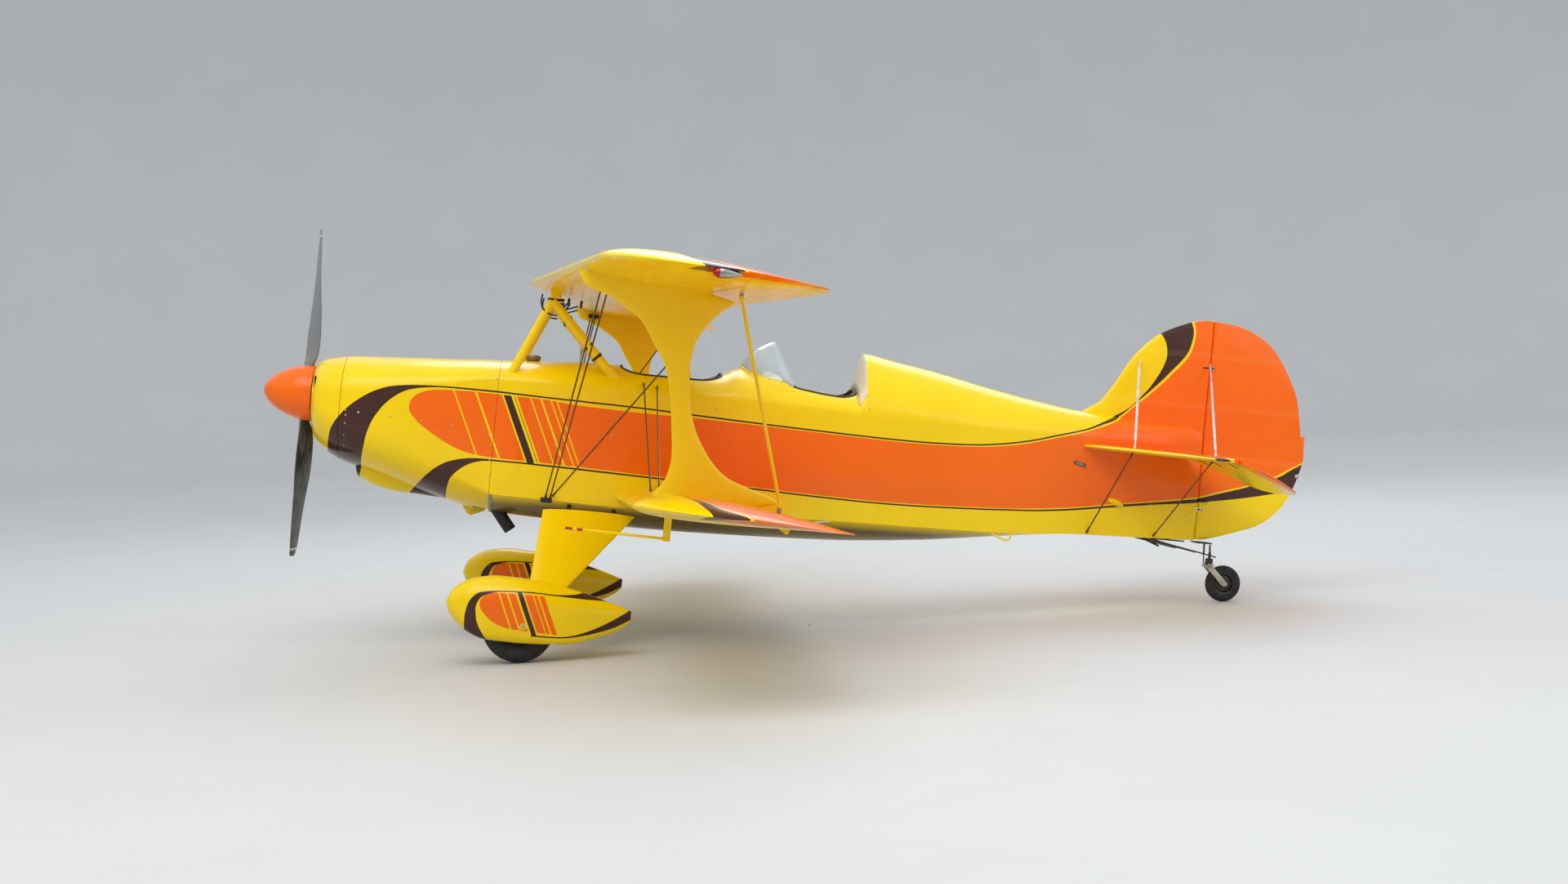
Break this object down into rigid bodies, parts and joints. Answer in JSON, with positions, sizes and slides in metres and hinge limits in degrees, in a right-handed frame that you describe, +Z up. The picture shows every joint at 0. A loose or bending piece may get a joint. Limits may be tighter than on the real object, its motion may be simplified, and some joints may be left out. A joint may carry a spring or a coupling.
{
  "type": "biplane aircraft",
  "caption": "Parked two-seat open-cockpit sport biplane with tailwheel gear, hinged control surfaces, and a turning propeller and wheels.",
  "frame": {"origin": "middle of the ground rectangle under the parked aeroplane", "axes": "+X aft along the ground, +Y to starboard, +Z up; the nose points to -X"},
  "size_m": [5.9591, 7.31, 2.3558],
  "materials": {
    "yellow_paint": "gloss",
    "orange_paint": "gloss",
    "black_paint": "satin",
    "black_blades": "satin",
    "brown_leather": "matte",
    "tyre_rubber": "matte",
    "bare_alloy": "satin",
    "steel": "satin",
    "clear_screen": "clear"
  },
  "bodies": {
    "airframe": {"axle_left": "steel", "axle_right": "steel", "cabane_left": "yellow_paint", "cabane_right": "yellow_paint", "chin_scoop": "yellow_paint", "cowl": "yellow_paint", "engine": "bare_alloy", "exhaust_outlet": "black_paint", "fin": "yellow_paint", "flying_wire_front_left": "steel", "flying_wire_front_right": "steel", "front_seat": "brown_leather", "fuselage": "yellow_paint", "gear_leg_left": "yellow_paint", "gear_leg_right": "yellow_paint", "instrument_panel": "black_paint", "interplane_strut_left": "yellow_paint", "interplane_strut_right": "yellow_paint", "landing_wire_left": "steel", "landing_wire_right": "steel", "lower_wing_left": "yellow_paint", "lower_wing_right": "yellow_paint", "nose_bowl": "yellow_paint", "pitot_tube": "yellow_paint", "rear_seat": "brown_leather", "stabilizer_left": "yellow_paint", "stabilizer_right": "yellow_paint", "tail_brace_left": "steel", "tail_brace_right": "steel", "tail_spring": "steel", "upper_wing": "yellow_paint", "wheel_pant_left": "yellow_paint", "wheel_pant_right": "yellow_paint", "windscreen": "clear_screen"},
    "propeller": {"propeller": "black_blades", "spinner": "orange_paint"},
    "main_wheel_left": {"tyre_left": "tyre_rubber", "wheel_left": "bare_alloy"},
    "main_wheel_right": {"tyre_right": "tyre_rubber", "wheel_right": "bare_alloy"},
    "tailwheel_fork": {"tailwheel_fork": "steel"},
    "tail_wheel": {"tail_wheel": "tyre_rubber"},
    "rudder": {"rudder": "orange_paint"},
    "elevators": {"elevator_left": "yellow_paint", "elevator_right": "yellow_paint"},
    "aileron_upper_left": {"aileron_upper_left": "yellow_paint"},
    "aileron_upper_right": {"aileron_upper_right": "yellow_paint"},
    "aileron_lower_left": {"aileron_lower_left": "yellow_paint"},
    "aileron_lower_right": {"aileron_lower_right": "yellow_paint"},
    "slave_strut_left": {"aileron_slave_strut_left": "yellow_paint"},
    "slave_strut_right": {"aileron_slave_strut_right": "yellow_paint"}
  },
  "joints": [
    {"name": "propeller_spin", "type": "hinge", "parent": "airframe", "child": "propeller", "pos_m": [-2.7447, 0, 1.451], "axis": [0.9903, 0, -0.1392], "continuous": true},
    {"name": "main_wheel_left_spin", "type": "hinge", "parent": "airframe", "child": "main_wheel_left", "pos_m": [-1.61874, -0.94, 0.19002], "axis": [0, 1, 0], "continuous": true},
    {"name": "main_wheel_right_spin", "type": "hinge", "parent": "airframe", "child": "main_wheel_right", "pos_m": [-1.61874, 0.94, 0.19002], "axis": [0, 1, 0], "continuous": true},
    {"name": "tailwheel_steer", "type": "hinge", "parent": "airframe", "child": "tailwheel_fork", "pos_m": [2.346, 0, 0.23064], "axis": [0.1392, 0, 0.9903], "range_deg": [-35, 35]},
    {"name": "tail_wheel_spin", "type": "hinge", "parent": "tailwheel_fork", "child": "tail_wheel", "pos_m": [2.42223, 0, 0.1048], "axis": [0, 1, 0], "continuous": true},
    {"name": "rudder_hinge", "type": "hinge", "parent": "airframe", "child": "rudder", "pos_m": [2.32547, 0, 0.73843], "axis": [0.1392, 0, 0.9903], "range_deg": [-28, 28]},
    {"name": "elevator_hinge", "type": "hinge", "parent": "airframe", "child": "elevators", "pos_m": [2.20682, 0, 0.86417], "axis": [0, 1, 0], "range_deg": [-46, 3]},
    {"name": "aileron_upper_left_hinge", "type": "hinge", "parent": "airframe", "child": "aileron_upper_left", "pos_m": [-0.60013, -2.37, 1.85342], "axis": [-0.1035, 0.9945, 0.0145], "range_deg": [-20, 20]},
    {"name": "aileron_upper_right_hinge", "type": "hinge", "parent": "airframe", "child": "aileron_upper_right", "pos_m": [-0.60013, 2.37, 1.85342], "axis": [0.1035, 0.9945, -0.0145], "range_deg": [-20, 20]},
    {"name": "aileron_lower_left_hinge", "type": "hinge", "parent": "airframe", "child": "aileron_lower_left", "pos_m": [-0.42788, -2.37, 0.78045], "axis": [-0.0053, 0.9993, -0.038], "range_deg": [-20, 20]},
    {"name": "aileron_lower_right_hinge", "type": "hinge", "parent": "airframe", "child": "aileron_lower_right", "pos_m": [-0.42788, 2.37, 0.78045], "axis": [0.0053, 0.9993, 0.038], "range_deg": [-20, 20]},
    {"name": "slave_strut_left_eye", "type": "hinge", "parent": "aileron_upper_left", "child": "slave_strut_left", "pos_m": [-0.51261, -2.62412, 1.77851], "axis": [-0.1035, 0.9945, 0.0145], "range_deg": [-23.14, 23.14]},
    {"name": "slave_strut_right_eye", "type": "hinge", "parent": "aileron_upper_right", "child": "slave_strut_right", "pos_m": [-0.51261, 2.62412, 1.77851], "axis": [0.1035, 0.9945, -0.0145], "range_deg": [-23.14, 23.14]}
  ],
  "couplings": [
    {"joint": "aileron_lower_left_hinge", "follows": "aileron_upper_left_hinge", "ratio": 1},
    {"joint": "aileron_upper_right_hinge", "follows": "aileron_upper_left_hinge", "ratio": -1},
    {"joint": "aileron_lower_right_hinge", "follows": "aileron_upper_left_hinge", "ratio": -1},
    {"joint": "slave_strut_left_eye", "follows": "aileron_upper_left_hinge", "ratio": -1.132},
    {"joint": "slave_strut_right_eye", "follows": "aileron_upper_left_hinge", "ratio": 1.132}
  ]
}
